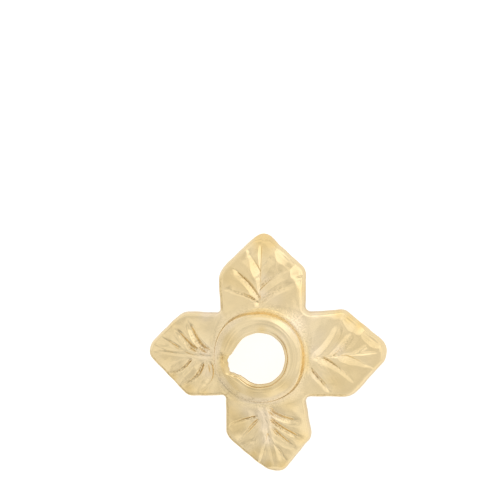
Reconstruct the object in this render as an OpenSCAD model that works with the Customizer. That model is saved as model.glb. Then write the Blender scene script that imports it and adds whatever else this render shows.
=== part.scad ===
// Bead cap of four veined leaves round a raised, hollow hub, cast in one piece of metal.
// One leaf points along +X and the next along +Y, and the hub rises along +Z. The origin is
// on the axis of the thread hole, level with the undersides of the four leaf tips.
// A bead sits against the hollow side, below the cap.

/* [Leaves] */
// Height the leaves' dome would reach over the axis
dome_top = 2.74; // [2.5:0.02:3.0]
// Thickness of the metal in the dished part of a leaf
metal = 0.62; // [0.5:0.02:0.7]
// Width of the rounded shoulder along most of a leaf's margin
shoulder_w = 0.30; // [0.2:0.05:0.4]
// How far the margin's widest line lies below the dome
margin_drop = 0.44; // [0.36:0.01:0.5]
// How far the rim under the margin reaches below the dome
rim_drop = 0.80; // [0.7:0.01:0.9]

/* [Veins] */
// Depth of a vein of full strength where it leaves the midrib
vein_depth = 0.17; // [0.1:0.01:0.28]
// Half the width of its groove there
vein_half_w = 0.30; // [0.2:0.01:0.4]
// How much the lobes swell between the veins
lobe_swell = 0.12; // [0:0.01:0.15]

/* [Hub] */
// Radius of the hub where it meets the leaves
hub_r = 2.76; // [2.70:0.01:2.78]
// Height of the hub's top
hub_top = 3.20; // [3.0:0.02:3.5]
// Radius of the round hole for the thread
hole_r = 1.42; // [1.3:0.02:1.5]
// Length of that hole, up to the narrow ledge round its upper edge
hole_len = 0.44; // [0.3:0.02:0.5]
// Radius of the well's mouth on the hollow side
mouth_r = 2.28; // [2.1:0.01:2.3]
// Radius of the well behind its bevel
well_r = 1.86; // [1.7:0.02:2]

/* [Hidden] */

// Outline corners of a leaf laid along +X: the corner on its clockwise side, the tip and
// the other corner. Columns: along, across, rounding radius
EAST_OUTLINE = [[5.20, -2.47, 1.20], [7.50, 0.22, 0.95], [4.75, 2.68, 1.00]];
NORTH_OUTLINE = [[4.93, -2.47, 0.95], [7.25, 0.20, 0.85], [4.75, 2.70, 0.95]];
WEST_OUTLINE = [[4.80, -2.42, 0.95], [7.25, -0.03, 0.75], [4.40, 2.56, 0.75]];
SOUTH_OUTLINE = [[4.90, -2.22, 0.95], [7.47, 0.70, 0.95], [4.80, 2.83, 0.95]];
// Notch before each leaf, going round from the east leaf. Columns: x, y, rounding radius
NOTCHES = [[2.48, -2.36, 0.25], [2.48, 2.55, 0.35], [-2.45, 2.45, 0.25], [-2.15, -2.36, 0.20]];

// Side veins of each half of a leaf, root to tip, the clockwise half first. Columns:
// where it leaves the midrib, from the axis; the share of the margin, from notch to tip,
// where it runs out; strength
EAST_VEINS = [
    [[2.95, 0.34, 0.9], [3.60, 0.55, 1.0], [4.85, 0.78, 0.9]],
    [[3.20, 0.36, 1.0], [4.15, 0.58, 0.9], [5.40, 0.80, 0.7]]];
NORTH_VEINS = [
    [[3.05, 0.28, 0.8], [3.85, 0.52, 0.9], [4.95, 0.75, 0.6]],
    [[3.05, 0.29, 0.7], [3.45, 0.52, 1.1], [4.95, 0.77, 1.0]]];
WEST_VEINS = [
    [[2.95, 0.36, 1.2], [3.35, 0.56, 1.3], [4.05, 0.76, 1.0], [5.15, 0.89, 0.6]],
    [[2.95, 0.33, 1.0], [3.30, 0.54, 1.1], [3.95, 0.72, 1.0]]];
SOUTH_VEINS = [
    [[3.10, 0.28, 1.0], [3.70, 0.50, 1.0], [4.70, 0.72, 0.9]],
    [[2.95, 0.28, 1.2], [3.25, 0.55, 1.2], [4.10, 0.75, 1.1], [5.35, 0.88, 0.7]]];
// Midribs, going round from the east leaf. Columns: across at the root, strength
MIDRIBS = [[-0.08, 0.9], [0.14, 1.0], [0.10, 0.9], [0.05, 1.1]];
// How much wider the shoulder is where a margin faces the direction wide_towards. Columns:
// the leaf's clockwise half, its other half
WIDE_SIDES = [[0, 1.2], [1.2, 0], [0, 0], [0, 0]];
// How far the shoulder widens towards each leaf's tip
TIP_ROLLS = [0.16, 0.34, 0.10, 0.30];

outlines = [EAST_OUTLINE, NORTH_OUTLINE, WEST_OUTLINE, SOUTH_OUTLINE];
veins = [EAST_VEINS, NORTH_VEINS, WEST_VEINS, SOUTH_VEINS];

// Section of the shoulder, margin to crease. Columns: share of its width, share of the
// drop, share of the veins' relief
SHOULDER = [[0.00, 1.00, 0.0], [0.18, 0.58, 0.2], [0.52, 0.18, 0.7], [1.00, 0.00, 1.0]];
// Section of the hub's outside, root to hole. Columns: in from hub_r, below hub_top
HUB = [[0.16, 0.43], [0.27, 0.22], [0.39, 0.17], [0.68, 0.04], [0.94, 0.00], [1.15, 0.03],
    [1.18, 0.16]];
// Chipped place in the thread hole's edge. Columns: direction in degrees, radius
CHIP = [[152, 1.40], [167, 1.58], [174, 1.69], [184, 1.92], [194, 1.85], [205, 1.90],
    [213, 1.68], [236, 1.40], [191, 1.00]];

root_r = 2.80;
row_step = 0.18;
columns = 12;
arc_steps = 6;
tangent_step = 0.12;
wide_towards = 45;
tip_roll_from = 0.86;
rim_in = 0.20;
dish_in = 0.50;
dish_root_r = 2.60;
lip_r = 2.40;
lip_drop = 0.10;
fan_margin = 0.30;
bevel_rise = 0.34;
well_neck_r = 1.62;
chip_reach = 1.0;

function unit(v) = v / norm(v);
function turned(p, a) = [p[0] * cos(a) - p[1] * sin(a), p[0] * sin(a) + p[1] * cos(a)];
function between(a, b, t) = a + (b - a) * t;
function flat(p) = [p[0], p[1]];
function last(v) = v[len(v) - 1];
function total(v, k) = k < 0 ? 0 : v[k] + total(v, k - 1);
function sorted(v) = len(v) < 2 ? v :
    concat(sorted([for (x = v) if (x < v[0]) x]), [v[0]], sorted([for (x = v) if (x > v[0]) x]));

// Points of the arc that rounds corner p between its two neighbours
function rounding(p, before, after, r) =
    let (u = unit(before - p), v = unit(after - p), half = acos(u * v) / 2,
        c = p + unit(u + v) * r / sin(half),
        from = p + u * r / tan(half) - c, to = p + v * r / tan(half) - c)
    [for (k = [0 : arc_steps]) c + r * unit(between(from, to, k / arc_steps))];

// The margin's widest line as a closed loop, notch first, then the three corners of the
// leaf after it, and so on round
corners = [for (leaf = [0 : 3]) each concat([NOTCHES[leaf]],
    [for (c = outlines[leaf]) concat(turned(flat(c), 90 * leaf), [c[2]])])];
loop = [for (i = [0 : 15]) each rounding(flat(corners[i]),
    flat(corners[(i + 15) % 16]), flat(corners[(i + 1) % 16]), corners[i][2])];
loop_n = len(loop);
function lengths(i, sum) = i > loop_n ? [] :
    concat([sum], lengths(i + 1, sum + norm(loop[(i + 1) % loop_n] - loop[i % loop_n])));
length_at = lengths(0, 0);
loop_length = last(length_at);
xs = [for (i = [0 : loop_n]) [length_at[i], loop[i % loop_n][0]]];
ys = [for (i = [0 : loop_n]) [length_at[i], loop[i % loop_n][1]]];
function wrap(s) = s - loop_length * floor(s / loop_length);
function margin_at(s) = [lookup(wrap(s), xs), lookup(wrap(s), ys)];
function inward_at(s) =
    let (along = unit(margin_at(s + tangent_step) - margin_at(s - tangent_step)))
    [-along[1], along[0]];
// Where the middle of a corner's rounding lies along the loop
function middle(corner) = length_at[corner * (arc_steps + 1) + arc_steps / 2];
function notch_at(leaf) = leaf == 4 ? loop_length + middle(0) : middle(4 * leaf);
function tip_at(leaf) = middle(4 * leaf + 2);

function polar(p) = [norm(p), atan2(p[1], p[0])];
function from_polar(q) = q[0] * [cos(q[1]), sin(q[1])];

// The dome falls with the square of the radius, by as much as brings the rim at each
// leaf's tip down to the ground, and its fall turns evenly from one tip to the next
function rim_at(s) = margin_at(s) + inward_at(s) * rim_in;
function tip_polar(leaf) = polar(turned(rim_at(tip_at((leaf + 4) % 4)), -90 * leaf));
falls = [for (leaf = [-2 : 3]) let (tip = tip_polar(leaf))
    [90 * leaf + tip[1], (dome_top - rim_drop) / (tip[0] * tip[0])]];
function dome(p) = dome_top - lookup(atan2(p[1], p[0]), falls) * (p * p);

// Midrib of a leaf, from its root on the hub to the tip
function midrib_end(leaf) = margin_at(tip_at(leaf));
function midrib_root(leaf) = let (across = MIDRIBS[leaf][0])
    turned([sqrt(root_r * root_r - across * across), across], 90 * leaf);
function midrib_length(leaf) = norm(midrib_end(leaf) - midrib_root(leaf));
function on_midrib(leaf, out) =
    between(midrib_root(leaf), midrib_end(leaf), (out - root_r) / midrib_length(leaf));

// Rows across a leaf leave the midrib at its veins' roots and at even steps between them
function knots(leaf) = sorted(concat([root_r, root_r + midrib_length(leaf)],
    [for (half = veins[leaf], v = half) v[0]]));
rows = [for (leaf = [0 : 3]) let (k = knots(leaf)) concat(
    [for (i = [0 : len(k) - 2]) let (steps = ceil((k[i + 1] - k[i]) / row_step))
        for (t = [0 : steps - 1]) between(k[i], k[i + 1], t / steps)], [last(k)])];

// A row meets the margin between the places where the veins beside it do
function row_share(leaf, half, out) = lookup(out, concat([[root_r, 0]],
    [for (v = veins[leaf][half]) [v[0], v[1]]], [[root_r + midrib_length(leaf), 1]]));
function row_margin(leaf, half, out) =
    between(notch_at(leaf + half), tip_at(leaf), row_share(leaf, half, out));
function to_tip(leaf, out) = root_r + midrib_length(leaf) - out;
// Width of the shoulder where a row meets the margin
function row_width(leaf, half, out) =
    let (facing = -inward_at(row_margin(leaf, half, out)) * from_polar([1, wide_towards]))
    shoulder_w * (1 + WIDE_SIDES[leaf][half] * pow(max(0, facing), 4))
        + lookup(row_share(leaf, half, out), [[tip_roll_from, 0], [1, TIP_ROLLS[leaf]]]);
// How far a row's crease lies in from the margin: it closes up towards the tip and keeps
// clear of the hub at the notch
function row_inset(leaf, half, out) = min(row_width(leaf, half, out), 0.8 * to_tip(leaf, out),
    norm(margin_at(row_margin(leaf, half, out))) - root_r);
// Point of a row, f from 0 at the midrib to 1 at the crease, turning evenly round the axis
function row_point(leaf, half, out, f) =
    let (s = row_margin(leaf, half, out),
        crease = margin_at(s) + inward_at(s) * row_inset(leaf, half, out),
        a = polar(turned(on_midrib(leaf, out), -90 * leaf)),
        b = polar(turned(crease, -90 * leaf)))
    turned(from_polar(between(a, b, f)), 90 * leaf);

// A vein is a V groove that narrows and grows shallow towards its end, in a soft valley
// that leaves the lobes beside it swollen. off: distance from it, t: how far along it
function vein_cut(off, t, strength) =
    strength * (vein_depth * (1 - 0.6 * t) * max(0, 1 - off / (vein_half_w * (1 - 0.4 * t)))
        + lobe_swell * (1 - 0.5 * t) * exp(-pow(off / 0.5, 2)));
function relief(leaf, half, out, f) =
    let (p = row_point(leaf, half, out, f), m = on_midrib(leaf, out))
    0.4 * lobe_swell - max(concat(
        [vein_cut(norm(p - m) * 0.8, (out - root_r) / midrib_length(leaf), MIDRIBS[leaf][1])],
        [for (v = veins[leaf][half]) vein_cut(norm(p - row_point(leaf, half, v[0], f)), f, v[2])]));

// One point of a leaf's upper side, by row and by column: 0 on the midrib, negative on
// the clockwise half, columns out to the crease and then the shoulder's section
side = columns + len(SHOULDER) - 1;
function drop_at(share) = margin_drop * lookup(share, [for (s = SHOULDER) [s[0], s[1]]]);
function leaf_point(leaf, out, column) =
    let (half = column < 0 ? 0 : 1, c = abs(column),
        width = row_width(leaf, half, out), inset = row_inset(leaf, half, out),
        s = row_margin(leaf, half, out))
    c <= columns ?
        let (f = c / columns, p = row_point(leaf, half, out, f),
            share = between(to_tip(leaf, out), inset, f) / width)
        concat(p, [dome(p) - drop_at(share)
            + relief(leaf, half, out, f) * min(1, 3 * (norm(p) - root_r + 0.05), share)])
    :
        let (part = SHOULDER[side - c], p = margin_at(s) + inward_at(s) * inset * part[0],
            share = inset * part[0] / width)
        concat(p, [dome(p) - drop_at(share)
            + relief(leaf, half, out, 1) * part[2] * min(1, share)]);

row_w = 2 * side + 1;
leaf_points = [for (leaf = [0 : 3]) each concat(
    [for (i = [0 : len(rows[leaf]) - 2], c = [-side : side]) leaf_point(leaf, rows[leaf][i], c)],
    [let (p = midrib_end(leaf)) concat(p, [dome(p) - margin_drop])])];
row_counts = [for (r = rows) len(r) - 1];
function leaf_start(leaf) = total([for (r = row_counts) r * row_w + 1], leaf - 1);
function id(leaf, i, c) =
    i == row_counts[leaf] ? leaf_start(leaf) + i * row_w :
    i == 0 && c >= columns ? id((leaf + 1) % 4, 0, -c) :
    leaf_start(leaf) + i * row_w + c + side;

// Loops of point numbers: round the leaves' roots, and round the margin
root_ids = [for (leaf = [0 : 3], c = [-columns : columns - 1]) id(leaf, 0, c)];
margin_ids = [for (leaf = [0 : 3]) each concat(
    [for (i = [0 : row_counts[leaf]]) id(leaf, i, -side)],
    [for (i = [row_counts[leaf] - 1 : -1 : 1]) id(leaf, i, side)])];
margin_s = [for (leaf = [0 : 3]) each concat(
    [for (out = rows[leaf]) row_margin(leaf, 0, out)],
    [for (i = [row_counts[leaf] - 1 : -1 : 1]) row_margin(leaf, 1, rows[leaf][i])])];

function on_circle(p, r) = r * unit(p);
ledge_z = hub_top - last(HUB)[1];
hub_loops = [for (s = concat(HUB, [[hub_r - hole_r + fan_margin, last(HUB)[1]]]))
    [for (k = root_ids) concat(on_circle(flat(leaf_points[k]), hub_r - s[0]), [hub_top - s[1]])]];
hub_root = [for (k = root_ids) let (p = on_circle(flat(leaf_points[k]), hub_r))
    concat(p, [dome(p)])];

under_z = dome([lip_r, 0]) - metal - lip_drop;
function dish_at(s) = margin_at(s) + inward_at(s) * dish_in;
under_loops = concat(
    [[for (s = margin_s) let (p = rim_at(s)) concat(p, [max(0, dome(p) - rim_drop)])]],
    [for (t = [1, 0.5, 0]) [for (s = margin_s)
        let (out = dish_at(s), p = between(on_circle(out, dish_root_r), out, t))
        concat(p, [dome(p) - metal])]],
    [[for (s = margin_s) concat(on_circle(dish_at(s), lip_r), [under_z])]]);

// Faces of the band between two loops, the first loop outside the second on an upward side
function band(a, b) = let (n = len(a)) [for (k = [0 : n - 1]) let (l = (k + 1) % n)
    each [[a[k], b[k], b[l]], [a[k], b[l], a[l]]]];
function cap(a, peak) = let (n = len(a)) [for (k = [0 : n - 1]) [a[k], peak, a[(k + 1) % n]]];
function different(f) = f[0] != f[1] && f[1] != f[2] && f[2] != f[0];

module blank() {
    top_rings = concat([hub_root], hub_loops);
    top_n = len(root_ids);
    under_n = len(margin_ids);
    top_start = len(leaf_points);
    under_start = top_start + len(top_rings) * top_n;
    points = concat(leaf_points, [for (r = top_rings) each r], [for (r = under_loops) each r],
        [[0, 0, ledge_z], [0, 0, under_z]]);
    peak = len(points) - 2;
    top_ids = concat([root_ids], [for (r = [0 : len(top_rings) - 1])
        [for (k = [0 : top_n - 1]) top_start + r * top_n + k]]);
    under_ids = concat([margin_ids], [for (r = [0 : len(under_loops) - 1])
        [for (k = [0 : under_n - 1]) under_start + r * under_n + k]]);
    leaf_faces = [for (leaf = [0 : 3], i = [0 : row_counts[leaf] - 1], c = [-side : side - 1])
        let (a = id(leaf, i, c), b = id(leaf, i, c + 1),
            d = id(leaf, i + 1, c), e = id(leaf, i + 1, c + 1))
        each [[a, b, e], [a, e, d]]];
    polyhedron(points, [for (f = concat(leaf_faces,
        [for (r = [0 : len(top_ids) - 2]) each band(top_ids[r], top_ids[r + 1])],
        cap(last(top_ids), peak),
        [for (r = [0 : len(under_ids) - 2]) each band(under_ids[r + 1], under_ids[r])],
        [for (f = cap(last(under_ids), peak + 1)) [f[2], f[1], f[0]]])) if (different(f)) f]);
}

// Round opening through the hub: bevelled mouth, tapering well and thread hole
module opening() {
    neck_z = ledge_z - hole_len;
    rotate_extrude($fn = 96) polygon([
        [0, under_z - 1], [mouth_r + 1, under_z - 1], [mouth_r, under_z],
        [well_r, under_z + bevel_rise], [well_neck_r, neck_z], [hole_r, neck_z],
        [hole_r, hub_top + 1], [0, hub_top + 1]]);
}

// Ragged bite out of the thread hole's edge, right through
module chip() {
    translate([0, 0, under_z]) linear_extrude(hub_top - under_z + chip_reach)
        polygon([for (c = CHIP) c[1] * [cos(c[0]), sin(c[0])]]);
}

module bead_cap() {
    color([0.90, 0.81, 0.63]) difference() {
        blank();
        opening();
        chip();
    }
}

bead_cap();
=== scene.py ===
"""Bead cap of four veined leaves round a raised hub, cast in one piece and plated pale gold."""

import math

import bpy
import numpy as np
from mathutils import Matrix, Vector


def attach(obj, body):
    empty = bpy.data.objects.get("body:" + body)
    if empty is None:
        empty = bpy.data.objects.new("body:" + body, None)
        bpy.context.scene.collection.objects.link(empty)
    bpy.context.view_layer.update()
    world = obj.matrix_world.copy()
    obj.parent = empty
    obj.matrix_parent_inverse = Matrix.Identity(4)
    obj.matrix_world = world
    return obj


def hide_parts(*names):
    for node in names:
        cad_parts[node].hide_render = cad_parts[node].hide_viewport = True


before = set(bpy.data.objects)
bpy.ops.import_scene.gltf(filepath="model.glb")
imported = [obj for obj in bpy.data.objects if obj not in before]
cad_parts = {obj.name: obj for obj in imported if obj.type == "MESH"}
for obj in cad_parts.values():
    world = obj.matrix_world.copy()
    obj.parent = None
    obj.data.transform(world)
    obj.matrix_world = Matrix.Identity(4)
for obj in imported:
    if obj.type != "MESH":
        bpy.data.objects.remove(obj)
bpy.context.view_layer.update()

bl_info = {
    "name": "Veined Bead Cap",
    "version": (1, 0, 0),
    "blender": (4, 5, 0),
    "location": "3D View > Sidebar > Bead Cap",
    "description": "Builds a cast four-leaf bead cap with a raised hub, its finish and its stage",
    "category": "Add Mesh",
}

MM = 0.001

# All sizes below are in millimetres. Leaves are counted from the east one round by north, and
# the half of a leaf on its clockwise side comes first.

# Outline corners of a leaf laid along +X: corner on its clockwise side, tip, other corner.
# Columns: along, across, rounding radius
OUTLINES = np.array([
    [[5.2, -2.47, 1.2], [7.5, 0.22, 0.95], [4.75, 2.68, 1]],
    [[4.93, -2.47, 0.95], [7.25, 0.2, 0.85], [4.75, 2.7, 0.95]],
    [[4.8, -2.42, 0.95], [7.25, -0.03, 0.75], [4.4, 2.56, 0.75]],
    [[4.9, -2.22, 0.95], [7.47, 0.7, 0.95], [4.8, 2.83, 0.95]],
])
# Notch before each leaf. Columns: x, y, rounding radius
NOTCHES = np.array([
    [2.48, -2.36, 0.25], [2.48, 2.55, 0.35], [-2.45, 2.45, 0.25], [-2.15, -2.36, 0.2]])

# Side veins of each half of each leaf, root to tip. Columns: distance from the axis where it leaves
# the midrib; share of the margin, notch to tip, where it runs out; depth; half width; how much
# wider its wall on the root side is; satin in its floor; how far the lobe on its root side stands
# above the next; pits in its floor; how much of its width it loses on its way out; how deep the
# painted shade on the lobe on its root side is
VEINS = [
    [[[2.95, 0.34, 0.3, 0.18, 0.3, 0.3, 0, 0, 0.5, 0.2],
      [3.55, 0.55, 1.5, 0.22, 0.8, 0.6, 0.02, 0, 0.6, 0.5],
      [4.75, 0.78, 1.2, 0.3, 0.75, 0.3, 0.03, 0, 0.9, 0.5]],
     [[3.2, 0.36, 1.2, 0.34, 0, 0.2, 0.02, 0, 0.1, 0],
      [4.15, 0.58, 1.1, 0.28, 0, 0.7, 0.03, 0.2, 0.3, 0.1],
      [5.4, 0.8, 0.7, 0.22, 0.1, 0.4, 0, 0, 0.5, 0.5]]],
    [[[3.05, 0.28, 0.8, 0.26, 0, 0.8, 0.02, 0.1, 0.3, 0.1],
      [3.85, 0.52, 1.2, 0.18, -0.5, 0.9, 0.02, 0.2, 0.6, 0.2],
      [4.95, 0.75, 0.5, 0.24, 0.2, 0.3, 0, 0, 0.6, 0.4]],
     [[3.05, 0.29, 0.3, 0.13, 0.3, 0.4, 0.02, 0, 0.5, 0.2],
      [3.4, 0.53, 1.5, 0.2, 0.8, 0.7, 0.02, 0, 0.1, 0.8],
      [4.8, 0.77, 1.2, 0.3, 0.75, 0.3, 0.03, 0, 0.9, 0.4]]],
    [[[2.95, 0.36, 2.1, 0.36, 0, 0.8, 0, 0.8, 0.4, 0],
      [3.35, 0.57, 1.9, 0.31, 0, 0.8, 0.02, 1, 0.4, 0.4],
      [4.05, 0.76, 1.1, 0.19, -0.1, 0.5, 0.04, 0.5, 0.3, 0.2],
      [5.25, 0.9, 0.6, 0.13, 0, 0.1, 0.02, 0.1, 0.5, 0.1]],
     [[2.95, 0.3, 0.3, 0.18, 0.3, 0.4, 0, 0.1, 0.3, 0.3],
      [3.3, 0.54, 0.3, 0.14, 0.3, 0.3, 0, 0.2, 0.3, 0.2],
      [4.2, 0.72, 0.2, 0.14, 0.2, 0.3, 0, 0.1, 0.3, 0.2]]],
    [[[3.3, 0.42, 0.2, 0.15, 0.3, 0.3, 0, 0, 0.4, 0],
      [3.6, 0.61, 0.2, 0.14, 0.3, 0.2, 0, 0, 0.4, 0.3],
      [4.5, 0.8, 0.5, 0.14, 0.3, 0.1, 0.08, 0.1, 0.4, 0]],
     [[2.95, 0.26, 1.8, 0.3, 0, 0.9, 0, 0.4, 0.3, 0.1],
      [3.25, 0.47, 1.6, 0.21, -0.1, 0.9, 0.02, 0.8, 0.2, 0.1],
      [3.7, 0.62, 1.3, 0.18, 0, 0.7, 0.02, 0.6, 0.2, 0.2],
      [4.6, 0.8, 0.9, 0.18, 0, 0.4, 0.04, 0.1, 0.5, 0.2]]],
]
# Midrib of each leaf. Columns: across at the root; depth; half width; how much wider the wall on
# the clockwise side is; satin; half width of the plain band that the side veins leave along it
MIDRIBS = [
    [-0.08, 0.9, 0.17, 0, 0.3, 0], [0.14, 1, 0.18, -0.6, 0.2, 0],
    [0.1, 0.8, 0.2, 0, 0.3, 0.01], [0.05, 0.4, 0.3, 0, 0.3, 0.06]]
# Cuts that don't start at a midrib. Columns: leaf; half of it; x and y of the start, of the
# middle and of the end; depth; half width; how much wider the wall on the root side is; satin;
# how far the lobe on the root side stands above the other; pits
CUTS = [
    [0, 0, 2.78, -0.52, 3.45, -1.36, 4.12, -2.2, 1.6, 0.17, 0.8, 0.7, 0.02, 0],
    [1, 1, -0.25, 3.18, -1.28, 3.62, -2.42, 3.85, 1, 0.11, 0.3, 0.5, 0.07, 0.9],
    [2, 1, -4.25, -0.38, -5, -1.06, -5.66, -1.15, 1, 0.13, 0, 0.3, -0.09, 1.2],
    [2, 1, -3.5, -0.6, -4.05, -1.45, -5, -1.92, 1.1, 0.15, 0, 0.5, -0.09, 1.2],
    [2, 1, -2.9, -0.6, -3.02, -1.5, -3.8, -2.32, 1.3, 0.17, -0.5, 0.3, -0.02, 0.1],
    [3, 0, -0.38, -3.6, -1.25, -3.83, -2.15, -4.22, 1, 0.13, 0, 0.4, 0.09, 1.1],
    [3, 0, -0.28, -3.8, -0.85, -4.45, -1.52, -5.24, 0.9, 0.12, 0, 0.1, -0.09, 0.5],
    [3, 0, -0.5, -5.1, -0.95, -5.25, -1.3, -5.6, 0.4, 0.12, 0.3, 0.1, -0.04, 0.1]]
# How far the rounded shoulder widens towards each leaf's tip
TIP_ROLLS = [0.16, 0.34, 0.1, 0.3]
# Lens-shaped facets inside the margins on the bright side. Columns: leaf; half of it; shares of
# the margin where it starts and ends
LENSES = [[0, 1, 0.42, 0.68], [0, 1, 0.67, 0.94], [1, 0, 0.24, 0.54], [1, 0, 0.5, 0.77]]

# Section of the hub's outside, root to hole. Columns: in from the hub's radius, below its top
HUB_SECTION = np.array([
    [0, 0.77], [0.06, 0.72], [0.12, 0.64], [0.17, 0.54], [0.21, 0.43], [0.24, 0.33],
    [0.27, 0.26], [0.31, 0.215], [0.36, 0.19], [0.4, 0.172], [0.5, 0.118], [0.66, 0.042],
    [0.675, 0.052], [0.69, 0.056], [0.71, 0.046], [0.74, 0.028], [0.82, 0.006], [0.94, 0],
    [1.05, 0.006], [1.12, 0.022], [1.155, 0.05], [1.17, 0.095], [1.18, 0.135], [1.205, 0.155],
    [1.26, 0.16], [1.31, 0.175], [1.335, 0.215], [1.34, 0.3]])
# Section of the well, hole to mouth. Columns: radius, height share from the mouth (0) to
# the hole's lower edge (1)
WELL_SECTION = np.array([
    [1.46, 1.03], [1.53, 0.99], [1.62, 0.94], [1.66, 0.84], [1.72, 0.7], [1.78, 0.56],
    [1.83, 0.44], [1.88, 0.36], [1.96, 0.29], [2.06, 0.2], [2.16, 0.1], [2.23, 0.03],
    [2.3, -0.02], [2.37, -0.02], [2.43, 0.02], [2.52, 0.08]])
# Edge of the thread hole, worn slightly wide and chipped on one side. Columns: direction in
# degrees, radius
HOLE_EDGE = np.array([
    [0, 1.42], [24, 1.42], [59, 1.44], [92, 1.43], [115, 1.44], [145, 1.48], [158, 1.5],
    [167, 1.57], [174, 1.68], [180, 1.83], [184, 1.91], [190, 1.9], [198, 1.92], [205, 1.98],
    [209, 1.88], [214, 1.74], [221, 1.58], [228, 1.52], [237, 1.53], [244, 1.56], [262, 1.56],
    [293, 1.54], [320, 1.49], [345, 1.44]])
# Pitted places on the hub. Columns: x, y, radius, strength
HUB_PITS = np.array([
    [-2.25, 0.05, 0.22, 0.7], [-2.6, 0, 0.12, 0.3], [-0.45, -2.45, 0.18, 0.6],
    [-1.3, -1.95, 0.16, 0.5]])
# Dents in the hub's top, beside the chip and in its worn rim. Columns: x, y, radius along x,
# radius along y, depth
HUB_DENTS = np.array([[-2.25, 0, 0.22, 0.26, 0.14], [-1.75, -0.9, 0.45, 0.35, 0.06]])
# Dimples and marks under the leaves. Columns: x, y, radius, depth
UNDER_PITS = np.array([
    [4.1, 1.1, 0.1, 0.05], [4.9, -0.9, 0.07, 0.04], [-3.9, 1.2, 0.09, 0.05],
    [-5.2, -0.6, 0.08, 0.04], [0.9, 4.6, 0.08, 0.05], [-1.2, 3.8, 0.1, 0.05],
    [1.3, -4.2, 0.09, 0.05], [-0.6, -5.3, 0.07, 0.04], [3.3, -1.5, 0.08, 0.04]])
# Places on the upper side painted in another tone: painted reflections where warm, as gold reflects
# gold, painted highlights where pale (warm below 0), and painted shade where deep.
# Columns: x, y, radius, warm (pale below 0), deep
PAINTED_LIGHT_SPOTS = np.array([
    [-0.1, 6.85, 0.55, 1.8, 0.4], [0.45, 6.55, 0.3, 1.2, 0.6], [0.4, 5.85, 0.4, 0.2, 0.4],
    [-0.6, 5.25, 0.35, 0.4, 0.4], [-1.45, 4.25, 0.6, 0.1, 0.3], [-2.1, 4.4, 0.5, 0.3, 0.2],
    [0.9, 4.1, 0.5, 0, 0.2], [2.35, 3.9, 0.35, 0.5, 0], [0, 3.6, 0.35, -0.8, 0],
    [0.15, 4.5, 0.3, -0.6, 0], [0.8, 3.3, 0.5, -0.4, 0], [2.15, 2.1, 0.65, -0.8, 0],
    [5.6, 1.75, 0.3, 1.1, 0.2], [5, 2.15, 0.3, 1, 0.3], [4.4, 2.45, 0.25, 0.8, 0.2],
    [5.95, 0.95, 0.4, 0.1, 0.6], [4.6, 1, 0.35, 0.1, 0.4], [5.1, -0.65, 0.4, 0.2, 0.5],
    [4.2, -1.5, 0.5, 0.3, 0.6], [6.5, -0.5, 0.45, 0.1, 0.3], [3.1, 0.3, 0.45, -0.8, 0],
    [4.4, 0.35, 0.4, -0.7, 0], [3.2, 1.2, 0.45, -0.4, 0], [-5.3, 1.6, 0.45, 0.3, 0.3],
    [-5.6, -0.3, 0.5, 0.2, 0.1], [-4.4, -2.15, 0.4, 1, 0.9], [-3.4, -2.4, 0.35, 0.8, 0.7],
    [-5.35, -1.42, 0.25, 0.9, 0.6], [3.2, -1.1, 0.3, -0.7, 0], [3.8, -1.8, 0.25, -0.4, 0],
    [-3.3, 0.1, 0.5, -0.9, 0], [-3.2, -1, 0.4, -0.8, 0], [-4.2, -0.5, 0.35, -0.3, 0],
    [-1.3, -4.1, 0.55, 0.1, 0.9], [-2.1, -3.2, 0.35, 0.6, 0.3], [-0.9, -3.3, 0.45, -0.5, 0],
    [0.05, -3.4, 0.45, -1.1, 0], [0.15, -4.2, 0.4, -1, 0], [0.25, -5, 0.35, -0.9, 0],
    [0.6, -5.9, 0.3, 0.2, 0.4], [-0.6, -5.95, 0.25, 0.9, 0.3], [0.25, -6.55, 0.25, 0.9, 0.4],
    [-0.3, -5.7, 0.35, 0.1, 0.5], [1.1, -6.6, 0.4, 0.7, 0.2], [2.3, -4.9, 0.4, 0.5, 0.1],
    [-2.1, -0.2, 0.35, 1.4, 0.6], [-1.85, 0.95, 0.55, 0.4, 0.7], [-1.6, -1.35, 0.45, 0.5, 0.5],
    [-0.5, -1.85, 0.45, 0.2, 1], [0.4, -1.85, 0.45, 0.1, 1], [1.15, -1.55, 0.35, 0.1, 0.6],
    [0.1, 1.58, 0.25, 0.6, 0.3], [1.3, 1.2, 0.4, -0.4, 0], [-1.6, -2.1, 0.45, 0.9, 0.4],
    [-2.3, -0.85, 0.4, 0.8, 0.3], [0.8, -3.6, 0.45, -0.6, 0], [1.6, -1.6, 0.5, 0.2, 0.6],
    [-1.6, -3.6, 0.5, 0.5, 0.4], [-1.75, -4.4, 0.5, 0.3, 0.6], [1.6, -2.8, 0.45, 0, 0.8],
    [-0.2, 6.1, 0.4, 0.4, 0.5], [6.45, 0.5, 0.4, 0.2, 0.5], [-3.3, 2.4, 0.35, -1.2, 0],
    [-2.7, 2.5, 0.3, -1, 0], [3.1, 2.5, 0.3, -0.8, 0]])

# Line from the cap to the camera, as a place and a direction, and where the camera is aimed
CAMERA_FROM = (0.0, 0.0, 1.5)
TO_CAMERA = (0.1228, 0.1228, 0.9848)
CAMERA_TARGET = (-0.98, 5.95, 0.0)
# Brightest place of the light tent: direction; cosine of the angle from it where its light
# starts, and where it is full
BRIGHT_PLACE = ((0.60, 0.60, 0.53), 0.82, 0.94)
# Other places of the tent, with the change of its light
TENT_PLACES = [
    ((-0.66, -0.66, 0.36), 0.30, 0.92, -0.07),
    ((-0.70, -0.70, 0.10), 0.90, 0.98, -0.30),
    ((0.64, -0.64, 0.42), 0.50, 0.92, 0.05),
    ((-0.20, -0.90, 0.38), 0.86, 0.97, -0.05),
    ((-0.64, 0.64, 0.42), 0.50, 0.92, -0.03),
    ((0.06, 0.06, 0.9964), 0.93, 0.99, -0.14),
    ((0.25, 0.25, 0.9354), 0.955, 0.99, 0.10)]
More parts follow.
